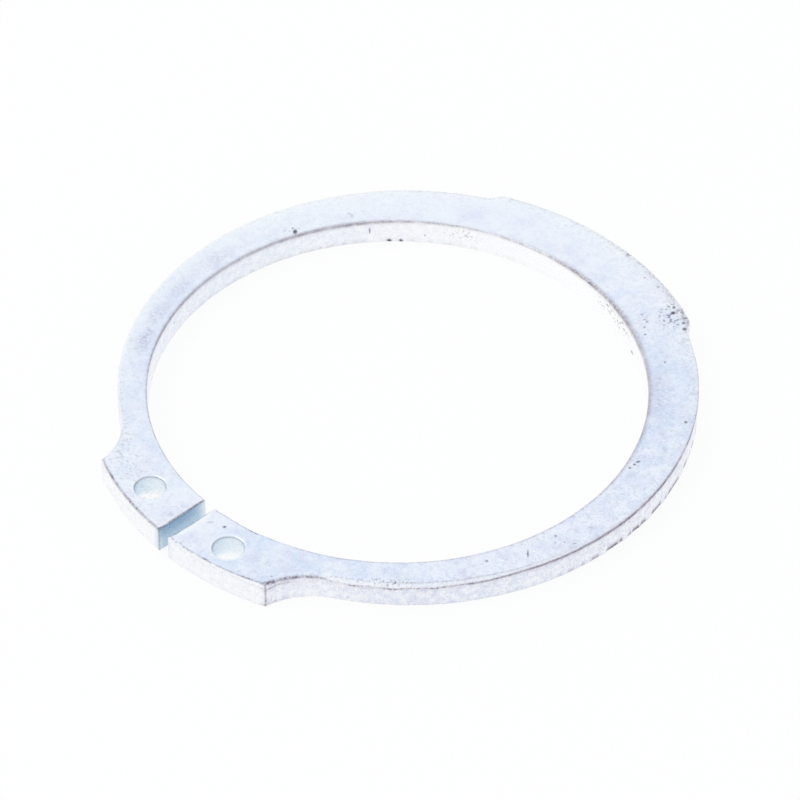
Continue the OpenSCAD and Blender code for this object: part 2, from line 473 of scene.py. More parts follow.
@dataclass
class RetainingRing:
    """The ring: its plan sizes, the surfaces that bound it and the mesh made of them."""

    inner_r: float
    thickness: float
    lug_r: float
    pad_r: float
    arm_r: float
    hole_r: float
    hole_x: float
    hole_y: float
    arm_front_w: float = 1.35
    pad_span: float = 14.0
    ramp_angle: float = 30.0
    lug_span: float = 12.4
    gap_w: float = 0.7
    hollow_r: float = 4.0
    hollow_undercut: float = 0.02
    edge_break: float = 0.05
    step: float = 0.11
    least_steps: int = 8
    mitre_reach: float = 1.0
    wall_rows: int = 9
    roll_rows: int = 12
    face_rows: int = 16
    lug_rows: int = 12
    corner_turns: Values = (0.0, 30.0, 60.0)
    sharp_angle: float = 42.0
    weld_grid: float = 1.0e5
    # Painted highlight towards the outer edge: its share away from the edge and its reach.
    fade_least: float = 0.15
    fade_reach: float = 0.8
    speckle_reach: float = 0.6
    shear: Shearing = Shearing()

    @classmethod
    def from_frame(cls, record: dict[str, Any]) -> RetainingRing:
        """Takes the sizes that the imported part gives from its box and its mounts.

        Args:
            record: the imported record.

        Returns:
            The ring at its real size.
        """
        low, high = (np.array(corner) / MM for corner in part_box(NODE))
        mounts = {mount["name"]: mount for mount in record["mounts"]}
        hole = mounts["plier_hole_right"]
        place = np.array(hole["pos_m"]) / MM
        half_gap = cls.gap_w / 2.0
        return cls(
            inner_r=mounts["shaft_seat"]["dims"]["r_mm"],
            thickness=high[2],
            lug_r=math.hypot(low[1], half_gap),
            pad_r=high[1],
            arm_r=high[0],
            hole_r=hole["dims"]["r_mm"],
            hole_x=place[0],
            hole_y=place[1],
        )

    @property
    def arm_offset(self) -> float:
        """How far the arms' outer circle lies behind the bore's."""
        return self.arm_r - self.inner_r - self.arm_front_w

    def stretches(self) -> list[Line | Arc]:
        """Stretches of the outline, worked out from where its circles and lines meet.

        The arms' outer circle is offset from the bore's, so that the arms grow towards the back. The
        hollow's circle goes through the lug's corner and cuts a little into the arms' circle, and the
        ramp runs straight from the pad's corner down to the arms' circle.

        Returns:
            One stretch for each name in Stretch, in that order.
        """
        centre = np.zeros(2)
        arm_centre = np.array([0.0, self.arm_offset])
        flip = np.array([-1.0, 1.0])
        gap_in = np.array([self.gap_w / 2, -self.height_on(self.inner_r, self.gap_w / 2)])
        gap_out = np.array([self.gap_w / 2, -self.height_on(self.lug_r, self.gap_w / 2)])
        corner = np.array([self.lug_span / 2, -self.height_on(self.lug_r, self.lug_span / 2)])
        reach = self.arm_r + self.hollow_r - self.hollow_undercut
        hollow = self.meeting(arm_centre, reach, corner, self.hollow_r)
        hollow_end = self.meeting(hollow, self.hollow_r, arm_centre, self.arm_r)
        pad_corner = np.array([self.pad_span / 2, self.height_on(self.pad_r, self.pad_span / 2)])
        lean = math.radians(self.ramp_angle)
        way = np.array([math.sin(lean), -math.cos(lean)])
        from_centre = pad_corner - arm_centre
        nearest = -from_centre @ way
        ramp = nearest - math.sqrt(nearest**2 + self.arm_r**2 - from_centre @ from_centre)
        foot = pad_corner + ramp * way
        return [
            Line(gap_in, gap_out),
            Arc.between(centre, gap_out, corner),
            Arc.between(hollow, corner, hollow_end, clockwise=True),
            Arc.between(arm_centre, hollow_end, foot),
            Line(foot, pad_corner),
            Arc.between(centre, pad_corner, pad_corner * flip),
            Line(pad_corner * flip, foot * flip),
            Arc.between(arm_centre, foot * flip, hollow_end * flip),
            Arc.between(hollow * flip, hollow_end * flip, corner * flip, clockwise=True),
            Arc.between(centre, corner * flip, gap_out * flip),
            Line(gap_out * flip, gap_in * flip),
            Arc.between(centre, gap_in * flip, gap_in, clockwise=True),
        ]

    @staticmethod
    def height_on(radius: float, across: float) -> float:
        """How high a circle stands at a distance from its centre line."""
        return math.sqrt(radius**2 - across**2)

    @staticmethod
    def meeting(a: Array, radius_a: float, b: Array, radius_b: float) -> Array:
        """Where two circles meet, on the left going from a to b.

        Args:
            a: centre of the first circle.
            radius_a: its radius.
            b: centre of the second circle.
            radius_b: its radius.

        Returns:
            The meeting point.
        """
        across = b - a
        distance = float(np.linalg.norm(across))
        ahead = across / distance
        along = (radius_a**2 - radius_b**2 + distance**2) / (2.0 * distance)
        aside = math.sqrt(radius_a**2 - along**2)
        return a + along * ahead + aside * np.array([-ahead[1], ahead[0]])

    def shares(self, stretches: list[Line | Arc]) -> list[Array]:
        """Where each stretch is sampled.

        Every stretch but the bore is cut into even steps. The bore has a point on the same radius as
        each point of the outer edge between the lugs, and as many points under a lug as the lug has.

        Args:
            stretches: the stretches of the outline.

        Returns:
            For each stretch its shares, which leave out the end that the next stretch begins with.
        """
        counts = [max(self.least_steps, round(item.length / self.step)) for item in stretches]
        shares = [np.arange(count) / count for count in counts]
        outer = range(Stretch.RIGHT_HOLLOW, Stretch.LEFT_LUG)
        points = np.concatenate([stretches[i].sample(shares[i])[0] for i in outer])
        end = stretches[Stretch.LEFT_LUG].sample(np.zeros(1))[0]
        points = np.concatenate([points, end])
        angle = np.unwrap(np.arctan2(points[:, 1], points[:, 0]))
        bore = stretches[Stretch.BORE]
        turn = 2.0 * math.pi
        radial = (angle[::-1] - bore.first + turn) % turn - turn
        radial = np.unwrap(radial) / (bore.last - bore.first)
        lug = counts[Stretch.RIGHT_LUG]
        left = np.arange(lug) / lug * radial[0]
        right = radial[-1] + np.arange(1, lug) / lug * (1.0 - radial[-1])
        shares[Stretch.BORE] = np.concatenate([left, radial, right])
        return shares

    def mitres(self, item: Line | Arc, share: Array, before: Array, after: Array) -> Array:
        """Ways along which a wall is set in from the points of a stretch.

        Along the stretch this is the outward normal. In a corner it is the sum of both sides' normals over
        one plus their product, so that profiles carried along both sides meet. What that adds along the
        stretch fades out over a short reach, so that points near a corner keep their order.

        Args:
            item: the stretch.
            share: where it is sampled.
            before: the last normal of the stretch before it.
            after: the first normal of the stretch after it.

        Returns:
            One way for each share.
        """
        normal = item.sample(share)[1]
        along = np.stack([-normal[:, 1], normal[:, 0]], axis=1)
        reach = min(self.mitre_reach, 0.5 * item.length)
        ends = item.sample(np.array([0.0, 1.0]))[1]
        slide = np.zeros(len(share))
        for end, other, far in ((ends[0], before, share), (ends[1], after, 1.0 - share)):
            corner = (end + other) / (1.0 + end @ other)
            fade = np.clip(1.0 - far * item.length / reach, 0.0, 1.0)
            slide += fade * (corner @ np.array([-end[1], end[0]]))
        return normal + slide[:, None] * along

    def outline(self) -> Outline:
        """Joins the stretches into one closed run.

        Returns:
            The outline, with its edge values smoothed a little along it and made uneven.
        """
        stretches = self.stretches()
        shares = self.shares(stretches)
        first = [item.sample(np.zeros(1))[1][0] for item in stretches]
        last = [item.sample(np.ones(1))[1][0] for item in stretches]
        points, mitres, edge, start, count = [], [], {}, {}, 0
        for kind, item, share in zip(Stretch, stretches, shares):
            points.append(item.sample(share)[0])
            mitres.append(self.mitres(item, share, last[kind - 1], first[(kind + 1) % len(first)]))
            for name in EdgeForm.__dataclass_fields__:
                edge.setdefault(name, []).append(EDGES[kind].along(name, share))
            start[kind] = count
            count += len(share)
        plan = np.concatenate(points)
        gaps = np.linalg.norm(np.diff(plan, axis=0), axis=1)
        run = np.concatenate([[0.0], np.cumsum(gaps)])
        edge = {name: self.eased(np.concatenate(values)) for name, values in edge.items()}
        upright = np.zeros(len(plan))
        for kind, index in start.items():
            upright[index] = EDGES[kind].corner[0]
        edge["corner"] = upright
        outline = Outline(plan, np.concatenate(mitres), run, edge, start)
        self.roughen(outline)
        return outline

    @staticmethod
    def eased(values: Array, reach: int = 3) -> Array:
        """Mean of each value and its neighbours round a closed run, which softens sudden changes."""
        return np.mean([np.roll(values, shift) for shift in range(-reach, reach + 1)], axis=0)

    def roughen(self, outline: Outline) -> None:
        """Makes the sheared edges uneven: rolls that vary, broken lines and a torn lower edge.

        Args:
            outline: the outline, whose edge values are changed in place.
        """
        x, y = outline.points.T
        shear = self.shear
        slow = shear.slow.at(x, y)
        quick = shear.quick.at(x, y)
        edge = outline.edge
        uneven = 1.0 + shear.roll_slow * slow + shear.roll_quick * quick
        edge["roll_w"] = edge["roll_w"] * uneven
        edge["roll_d"] = edge["roll_d"] * uneven
        change = edge["breaks"] * (shear.line_slow * slow + shear.line_quick * quick)
        edge["line"] = np.clip(edge["line"] * (1.0 + change), 0.0, 1.0)
        for nick in NICKS:
            near = np.exp(-((np.hypot(x - nick.x, y - nick.y) / nick.reach) ** 2))
            edge["roll_w"] += nick.bite * near
            edge["roll_d"] += nick.bite * near
            edge["line"] = np.maximum(edge["line"], near)
        crests = shear.torn_gain * (shear.dashes.at(x, y) + shear.torn_lift)
        torn = np.clip(crests, 0.0, 1.0) * edge["burr"]
        edge["torn"] = torn
        edge["break"] = self.edge_break * (1.0 + shear.foot_quick * quick) + shear.torn_bite * torn

    def profile(self, edge: dict[str, Array]) -> tuple[Array, Array]:
        """Wall profile at each point of an outline, as depth behind the outline and height.

        From the lower face it goes over the lower edge in a quarter circle, up the wall with rows
        packed towards both ends, and over the roll, a quarter of an ellipse as wide and as deep as
        the edge values say.

        Args:
            edge: edge values along the outline.

        Returns:
            Depth and height, one row for each point of the outline and one column for each profile row.
        """
        corner = np.radians(self.corner_turns)
        climb = 0.5 - 0.5 * np.cos(np.pi * np.arange(self.wall_rows) / self.wall_rows)
        turn = np.linspace(0.0, np.pi / 2.0, self.roll_rows + 1)
        lower = edge["break"][:, None]
        width = edge["roll_w"][:, None]
        drop = edge["roll_d"][:, None]
        shoulder = self.thickness - drop
        depth = [
            lower * (1.0 - np.sin(corner)),
            np.zeros((len(lower), self.wall_rows)),
            width * (1.0 - np.cos(turn)),
        ]
        height = [
            lower * (1.0 - np.cos(corner)),
            lower + (shoulder - lower) * climb,
            shoulder + drop * np.sin(turn),
        ]
        return np.concatenate(depth, axis=1), np.concatenate(height, axis=1)

    def wall(self, outline: Outline, flip: bool = False) -> Surface:
        """Carries the wall profile along an outline.

        A point is the outline's point less the profile's depth times the mitre, at the profile's height.

        Args:
            outline: the outline to follow.
            flip: whether the faces turn over.

        Returns:
            The closed wall, from its lower edge to its upper one.
        """
        edge = outline.edge
        depth, height = self.profile(edge)
        plan = outline.points[:, None, :] - depth[..., None] * outline.mitre[:, None, :]
        points = np.concatenate([plan, height[..., None]], axis=2)
        moves = np.hypot(np.diff(depth, axis=1), np.diff(height, axis=1))
        rise = np.concatenate([np.zeros((len(depth), 1)), np.cumsum(moves, axis=1)], axis=1)
        run = np.concatenate([outline.run, outline.run[-1:] + self.step])
        values = self.wall_values(edge, rise)
        return Surface(
            points=outline.closed(points),
            run=np.repeat(run[:, None], depth.shape[1], axis=1),
            rise=outline.closed(rise),
            values={name: outline.closed(value) for name, value in values.items()},
            flip=flip,
        )

    def wall_values(self, edge: dict[str, Array], rise: Array) -> dict[str, Array]:
        """Values that the finish reads along a wall.

        The crease is the darkest of five things: the line, its trace, the torn lower edge, an upright edge
        and the borders of the wall. All but the torn lower edge are painted shade, the lines partly edge
        wear.
        All but the upright edge are bands across the profile. The shine is a painted highlight, and the two
        blue tints are painted reflections. How far the line's place lies from the upper face is kept with
        the edge values, because the line goes on there.

        Args:
            edge: edge values along the outline.
            rise: length along the profile, one row for each point of the outline.

        Returns:
            The values by name, each one as many as the points of the wall.
        """
        shear = self.shear
        base = len(self.corner_turns)
        foot = rise.shape[1] - 1 - self.roll_rows
        roll_length = rise[:, -1] - rise[:, foot]
        edge["line_over"] = (1.0 - edge["line_at"]) * roll_length
        line_at, trace_at, shine_at = (
            rise[:, foot] + edge[name] * roll_length for name in ("line_at", "trace_at", "shine_at")
        )
        line = self.band(rise, line_at, edge["line_w"]) * edge["line"][:, None]
        trace = self.band(rise, trace_at, shear.trace_share * edge["line_w"]) * edge["trace"][:, None]
        torn = self.band(rise, rise[:, base] + shear.torn_rise, shear.torn_w) * edge["torn"][:, None]
        # Painted shade just under the roll and along the foot.
        under_roll = self.band(rise, rise[:, foot] - shear.border_drop, shear.border_w)
        over_foot = self.band(rise, rise[:, base], shear.foot_w)
        border = shear.border * np.maximum(under_roll, over_foot) * edge["grey"][:, None]
        upright = np.repeat(edge["corner"][:, None], rise.shape[1], axis=1)
        share = np.clip((rise - rise[:, foot, None]) / roll_length[:, None], 0.0, 1.0)
        values = {
            "crease": np.maximum.reduce([line, trace, torn, upright, border]),
            "shine": self.band(rise, shine_at, shear.shine_share * roll_length) * edge["shine"][:, None],
            "wall": np.cos(share * np.pi / 2.0) ** 2,
        }
        for name in WALL_VALUES:
            values[name] = np.repeat(edge[name][:, None], rise.shape[1], axis=1)
        # The two blue tints are painted reflections, which set in up the wall.
        climb = np.clip((rise / edge["foot"][:, None] - shear.blue_from) / shear.blue_over, 0.0, 1.0)
        values["cool"] *= climb
        values["sky"] *= climb
        return values

    @staticmethod
    def band(rise: Array, middle: Array, width: Array | float) -> Array:
        """Bell curve across the profile: one in the middle of a band, and falling off over its width."""
        return np.exp(-(((rise - middle[:, None]) / np.reshape(width, (-1, 1))) ** 2))

    def face(self, inner: Array, outer: Array, rows: int, flip: bool) -> Surface:
        """Lays a flat face between two edges.

        A point is the mix of the two edges' points at a share of the way across. The shares follow a
        half cosine, so that rows lie close together along both edges.

        Args:
            inner: points of the edge that the rows start from.
            outer: points of the edge that they end on.
            rows: how many rows of faces there are.
            flip: whether the faces turn over.

        Returns:
            The face, with x and y for its run and rise and nothing of the wall's values on it.
        """
        share = 0.5 - 0.5 * np.cos(np.linspace(0.0, np.pi, rows + 1))
        points = inner[:, None, :] * (1.0 - share)[:, None] + outer[:, None, :] * share[:, None]
        points[:, 0] = inner
        points[:, -1] = outer
        values = {name: np.zeros(points.shape[:2]) for name in ("crease", "shine", "wall", *WALL_VALUES)}
        return Surface(points, points[..., 0], points[..., 1], values, flip)

    @staticmethod
    def spill(face: Surface, outline: Outline, numbers: Array, column: int) -> None:
        """Carries the dark line along an edge on over the flat face beside it, as the same bell curve.

        Args:
            face: the face, whose values are changed in place.
            outline: the outline that the edge belongs to.
            numbers: numbers of the edge's points, in the order of the face's rows.
            column: the column of the face that lies on the edge.
        """
        far = np.linalg.norm(face.points - face.points[:, [column]], axis=2)
        over, width, strength, breaks = (
            outline.edge[name][numbers][:, None] for name in ("line_over", "line_w", "line", "breaks")
        )
        # The line spilt onto the face is painted shade, partly edge wear.
        line = strength * np.exp(-(((far + over) / width) ** 2))
        face.values["breaks"] = np.where(line > face.values["crease"], breaks, face.values["breaks"])
        face.values["crease"] = np.maximum(face.values["crease"], line)

    def hole(self, loop: Array, side: float) -> Outline:
        """Round outline of a plier hole, with a point towards each point of the lug's edge.

        Its edge values run counter-clockwise round the hole, from the side that faces right.

        Args:
            loop: points of the lug's edge, in order.
            side: 1 for the right lug, -1 for the left.

        Returns:
            The outline, whose wall faces the hole's axis.
        """
        centre = np.array([side * self.hole_x, self.hole_y])
        away = loop[:, :2] - centre
        radial = away / np.linalg.norm(away, axis=1)[:, None]
        angle = np.unwrap(np.arctan2(radial[:, 1], radial[:, 0]))
        share = (angle / (2.0 * math.pi)) % 1.0
        edge = {name: HOLE_EDGE.along(name, share) for name in EdgeForm.__dataclass_fields__}
        edge["torn"] = np.zeros(len(loop))
        edge["corner"] = np.zeros(len(loop))
        edge["break"] = np.full(len(loop), self.edge_break)
        points = centre + self.hole_r * radial
        return Outline(points, -radial, self.hole_r * (angle - angle[0]), edge)

    def surfaces(self) -> list[Surface]:
        """All the surfaces that close the ring: its wall, its faces, and the lugs round their holes.

        Returns:
            The surfaces, which share their edges' points.
        """
        outline = self.outline()
        start = outline.start
        wall = self.wall(outline)
        made = [wall]
        lug = start[Stretch.RIGHT_HOLLOW] - start[Stretch.RIGHT_LUG]
        outer = np.arange(start[Stretch.RIGHT_HOLLOW], start[Stretch.LEFT_LUG] + 1)
        inner = (start[Stretch.BORE] + lug + np.arange(len(outer)))[::-1]
        holes: list[Surface] = []
        for upper in (True, False):
            row = -1 if upper else 0
            rim = wall.points[:-1, row]
            arms = self.face(rim[inner], rim[outer], self.face_rows, flip=upper)
            made.append(arms)
            if upper:
                self.spill(arms, outline, inner, 0)
                self.spill(arms, outline, outer, -1)
            right = np.concatenate([rim[: outer[0]], arms.points[0, :0:-1], rim[inner[0]:]])
            left = np.concatenate([rim[outer[-1]: inner[-1]], arms.points[-1, :-1]])
            lugs = ((right, 1.0), (left, -1.0))
            if not holes:
                holes = [self.wall(self.hole(loop, side), flip=True) for loop, side in lugs]
                made.extend(holes)
            for (loop, _), hole in zip(lugs, holes):
                edge = np.concatenate([loop, loop[:1]])
                made.append(self.face(edge, hole.points[:, row], self.lug_rows, flip=not upper))
        return made

    def settle(self, points: Array) -> Array:
        """Makes the flat upper face faintly uneven, only ever downwards.

        Args:
            points: all the points of the ring.

        Returns:
            The points with low ripples pressed into the upper face and fading out down the walls.
        """
        swell = self.shear.swell.at(points[:, 0], points[:, 1])
        steep = self.shear.swell_steep
        upper = np.clip(points[:, 2] / self.thickness * steep - (steep - 1.0), 0.0, 1.0)
        moved = points.copy()
        moved[:, 2] -= self.shear.swell_depth * (1.0 + np.clip(swell, -1.0, 1.0)) * upper
        return moved

    def near_rim(self, points: Array, reach: float) -> Array:
        """How near points lie to the outer edge.

        Args:
            points: points of the ring.
            reach: over what distance inwards the value falls off.

        Returns:
            One on the edge of the arms or the pad and beyond it, and less inwards.
        """
        x, y = points[:, 0], points[:, 1]
        on_pad = (np.abs(x) < self.pad_span / 2) & (y > 0.0)
        to_arm = self.arm_r - np.hypot(x, y - self.arm_offset)
        to_pad = self.pad_r - np.hypot(x, y)
        return np.exp(-np.clip(np.where(on_pad, to_pad, to_arm), 0.0, None) / reach)

    def build(self) -> bpy.types.Object:
        """Welds the surfaces into one closed mesh.

        Returns:
            The ring's object, at the origin, with its UV map and the values that its finish reads.
        """
        surfaces = self.surfaces()
        points = np.concatenate([surface.points.reshape(-1, 3) for surface in surfaces])
        sizes = [surface.run.size for surface in surfaces]
        offsets = np.concatenate([[0], np.cumsum(sizes)[:-1]])
        quads = np.concatenate([surface.quads() + first for surface, first in zip(surfaces, offsets)])
        rounded = np.round(points * self.weld_grid).astype(np.int64)
        _, first, number = np.unique(rounded, axis=0, return_index=True, return_inverse=True)
        mesh = self.weld(self.settle(points[first]) * MM, number.reshape(-1)[quads])

        run = np.concatenate([surface.run.ravel() for surface in surfaces])
        rise = np.concatenate([surface.rise.ravel() for surface in surfaces])
        uv = np.stack([run, rise], axis=1)[quads.ravel()]
        layer = mesh.uv_layers.new(name=UV_MAP)
        layer.data.foreach_set("uv", uv.astype(np.float32).ravel())
        values = {
            name: np.concatenate([surface.values[name].ravel() for surface in surfaces])[first]
            for name in surfaces[0].values
        }
        values |= self.worn(points[first])
        for name, value in values.items():
            attribute = mesh.attributes.new(name, "FLOAT", "POINT")
            attribute.data.foreach_set("value", value.astype(np.float32))
        mesh.set_sharp_from_angle(angle=math.radians(self.sharp_angle))
        mesh.validate()

        piece = bpy.data.objects.new("ring", mesh)
        bpy.context.scene.collection.objects.link(piece)
        return piece

    @staticmethod
    def weld(placed: Array, corners: Array) -> bpy.types.Mesh:
        """Makes a smooth mesh of four-cornered faces.

        Args:
            placed: points in metres.
            corners: numbers of each face's four points.

        Returns:
            The mesh.
        """
        mesh = bpy.data.meshes.new(NODE)
        mesh.vertices.add(len(placed))
        mesh.vertices.foreach_set("co", placed.astype(np.float32).ravel())
        mesh.loops.add(corners.size)
        mesh.loops.foreach_set("vertex_index", corners.astype(np.int32).ravel())
        mesh.polygons.add(len(corners))
        mesh.polygons.foreach_set("loop_start", np.arange(0, corners.size, 4, dtype=np.int32))
        mesh.polygons.foreach_set("use_smooth", np.ones(len(corners), dtype=bool))
        mesh.update(calc_edges=True)
        return mesh

    def worn(self, points: Array) -> dict[str, Array]:
        """How the flat faces are worn at each point, and how much painted highlight they get.

        Args:
            points: points of the ring.

        Returns:
            The values of FaceWearAndHighlight by name, with the fade, a painted highlight, and the speckle
            held near the outer edge.
        """
        wear = FaceWearAndHighlight()
        values = {name: wear.at(name, points) for name in FaceWearAndHighlight.__dataclass_fields__}
        # The fade is a painted highlight, strongest at the outer edge.
        values["fade"] *= self.fade_least + (1.0 - self.fade_least) * self.near_rim(points, self.fade_reach)
        values["speckle"] *= self.near_rim(points, self.speckle_reach)
        return values

    def dress(self, piece: bpy.types.Object, finish: ZincFinish) -> None:
        """Gives the ring its finish and says what it stands for.

        Args:
            piece: the ring's object.
            finish: the finish of its surface.
        """
        piece.data.materials.append(finish.material())
        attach(piece, BODY)
        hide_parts(NODE)


class NodeSheet:
    """One node tree, with short calls for the nodes that the finishes use."""

    def __init__(self, tree: bpy.types.NodeTree) -> None:
        """Empties the tree."""
        self.tree = tree
        tree.nodes.clear()

    def add(self, kind: str, inputs: dict[int | str, Any] | None = None, **settings: Any) -> bpy.types.Node:
        """Adds a node.

        Args:
            kind: the node's type.
            inputs: values, or sockets to link, by the input's name or number.
            settings: the node's own properties.

        Returns:
            The node.
        """
        node = self.tree.nodes.new(kind)
        for name, value in settings.items():
            setattr(node, name, value)
        for key, value in (inputs or {}).items():
            if isinstance(value, Socket):
                self.tree.links.new(value, node.inputs[key])
            else:
                node.inputs[key].default_value = value
        return node

    def value(self, name: str) -> Socket:
        """Value that the mesh holds under a name."""
        return self.add("ShaderNodeAttribute", attribute_name=name).outputs["Fac"]

    def math(self, operation: str, a: Any, b: Any = 0.0, clamp: bool = False) -> Socket:
        """Result of one sum."""
        return self.add("ShaderNodeMath", {0: a, 1: b}, operation=operation, use_clamp=clamp).outputs[0]

    def vector(self, operation: str, inputs: dict[int | str, Any]) -> bpy.types.NodeOutputs:
        """Results of one sum of vectors."""
        return self.add("ShaderNodeVectorMath", inputs, operation=operation).outputs

    def shift(self, value: Any, span: Span, to: Span) -> Socket:
        """Smooth step from one span of values to another, held at both ends."""
        inputs = dict(zip(SHIFT_INPUTS, (value, *span, *to)))
        return self.add("ShaderNodeMapRange", inputs, interpolation_type="SMOOTHSTEP").outputs[0]

    def blend(self, share: Any, a: Any, b: Any) -> Socket:
        """Mix of two colours."""
        return self.add("ShaderNodeMix", {0: share, 6: a, 7: b}, data_type="RGBA").outputs[2]

    def noise(self, where: Any, size: float, detail: float = 2.0, rough: float = 0.5) -> Socket:
        """Cloudy noise with patches of about the given size, in the units of where."""
        inputs = {"Vector": where, "Scale": 1.0 / size, "Detail": detail, "Roughness": rough}
        return self.add("ShaderNodeTexNoise", inputs).outputs[0]


@dataclass(frozen=True)
class Mark:
    """One mark on the plating: its middle and size in plan, turn and strength, and its place in height."""

    x: float
    y: float
    length: float
    width: float
    turn: float = 0.0
    strength: float = 1.0
    z: float = 1.5
    tall: float = 0.2

    def mask(self, sheet: NodeSheet, where: Any) -> Socket:
        """Where the mark shows.

        The place is moved, turned and stretched so that the mark is a ball of radius 1, and the mask falls
        off with the distance from the ball's middle.

        Args:
            sheet: the material's nodes.
            where: place on the object.

        Returns:
            The mark's strength in its middle, fading to nothing just outside it.
        """
        inputs = {
            "Vector": where,
            "Location": Vector((self.x, self.y, self.z)) * MM,
            "Rotation": (0.0, 0.0, math.radians(self.turn)),
            "Scale": Vector((self.length, self.width, self.tall)) * (0.5 * MM),
        }
        ball = sheet.add("ShaderNodeMapping", inputs, vector_type="TEXTURE").outputs[0]
        far = sheet.vector("LENGTH", {0: ball})["Value"]
        return sheet.shift(far, MARK_EDGE, (self.strength, 0.0))


def pits(strength: float, *places: tuple[float, float, float]) -> list[Mark]:
    """Round pits in the upper face, each given as x, y and its width."""
    return [Mark(x, y, width, width, strength=strength) for x, y, width in places]


MARKS: dict[MarkKind, list[Mark]] = {
    MarkKind.PIT: [
        Mark(5.97, 14.34, 0.28, 0.22, 60.0),
        *pits(0.8, (5.70, 14.68, 0.18), (6.89, 14.16, 0.19), (7.25, 13.85, 0.24)),
        *pits(0.5, (6.03, 14.68, 0.17), (6.76, 13.84, 0.16), (6.66, 14.48, 0.14), (5.48, 13.92, 0.13)),
        *pits(0.45, (3.98, 15.25, 0.18), (2.99, 15.28, 0.12), (4.91, 13.05, 0.14), (5.31, 12.86, 0.15)),
        *pits(0.6, (5.51, 12.82, 0.14), (5.72, 12.42, 0.16), (6.13, 12.04, 0.13), (8.34, 11.24, 0.16)),
        *pits(0.8, (12.22, 8.72, 0.18), (12.60, 4.57, 0.14), (12.61, 4.22, 0.13)),
        *pits(0.6, (12.39, -5.69, 0.18), (13.49, -1.97, 0.16), (13.80, -2.32, 0.10), (14.10, -1.97, 0.10)),
        *pits(0.8, (1.75, -13.53, 0.18), (-12.83, 4.34, 0.10), (-12.60, 4.60, 0.08)),
        Mark(-12.53, 4.25, 0.40, 0.25, 135.0, 0.9),
        Mark(12.59, 4.82, 0.26, 0.13, 70.0, 0.8),
        Mark(13.42, -3.85, 0.50, 0.10, 135.0, 0.7),
        Mark(14.50, -1.66, 0.26, 0.08, 60.0, 0.5),
        *pits(0.5, (5.91, -14.13, 0.10)),
        Mark(-9.71, 8.58, 0.30, 0.16, 45.0, 0.9, z=0.10, tall=0.26),
        Mark(-9.27, 9.03, 0.26, 0.16, 45.0, 0.9, z=0.10, tall=0.24),
        Mark(-10.39, 7.75, 0.10, 0.10, strength=0.8, z=0.86, tall=0.42),
        Mark(-8.32, 9.92, 0.10, 0.10, strength=0.5, z=0.53, tall=0.14),
        Mark(-12.00, -4.89, 0.14, 0.14, strength=0.6, z=0.84, tall=0.14),
        Mark(5.62, 11.65, 0.30, 0.30, strength=0.7, z=0.10, tall=0.24),
    ],
    MarkKind.SMUDGE: [
        Mark(5.92, 14.08, 0.42, 0.20, 60.0),
        Mark(1.11, -15.12, 0.26, 0.16, strength=0.8),
        Mark(1.04, -13.79, 0.40, 0.14, 60.0, 0.6),
        Mark(14.22, -0.25, 0.6, 0.35, 40.0, 0.35),
        Mark(12.81, 6.58, 0.4, 0.3, strength=0.4),
        Mark(-11.47, 7.37, 0.5, 0.3, strength=0.5),
        Mark(-11.50, -7.30, 2.2, 0.8, 122.0, 0.46),
        Mark(-12.55, -5.43, 2.2, 0.8, 112.0, 0.32),
        Mark(-13.25, -3.30, 2.6, 0.8, 103.0, 0.26),
        Mark(-13.75, -0.30, 2.4, 0.9, 92.0, 0.22),
        # Painted shade along the bore at the back right.
        Mark(9.70, 9.50, 4.8, 0.9, 134.0, 0.26),
        # Painted shade beside the gap on the left lug.
        Mark(-0.75, -14.60, 2.4, 0.7, 90.0, 0.25),
    ],
    MarkKind.SCRATCH: [
        Mark(12.84, -5.12, 0.55, 0.09, 25.0),
        Mark(13.19, -5.02, 0.45, 0.08, 10.0, 0.7),
        Mark(13.57, -3.49, 0.55, 0.09, 20.0),
        Mark(13.90, 0.56, 0.3, 0.08, 45.0, 0.8),
    ],
    MarkKind.SPECKS: [
        Mark(6.09, 14.21, 2.6, 1.5, 120.0, 0.7),
        Mark(5.31, 12.81, 1.2, 0.8, 120.0, 0.3),
        Mark(-12.80, 3.90, 1.2, 0.6, 105.0, 0.3),
        Mark(-7.49, -14.07, 2.0, 1.6, strength=0.3),
        Mark(1.15, -15.90, 1.5, 0.4, 10.0, 0.45),
        Mark(9.80, -10.60, 4.6, 0.6, 45.0, 0.65, tall=0.5),
        Mark(3.83, 12.37, 4.4, 0.8, 163.0, 0.6, z=0.95, tall=1.1),
        Mark(-6.70, 11.10, 2.4, 0.5, 31.0, 0.4, z=0.9, tall=0.8),
    ],
}


@dataclass(frozen=True)
class Cloud:
    """Cloudy noise: how large its patches are, how fine and rough it is, and the step taken from it."""

    size: float
    detail: float
    rough: float
    step: Step

    def at(self, sheet: NodeSheet, where: Any, unit: float = MM) -> Socket:
        """How dense the cloud is at a place. The unit is a millimetre in the place's own measure."""
        noise = sheet.noise(where, self.size * unit, self.detail, self.rough)
        return sheet.shift(noise, *self.step)


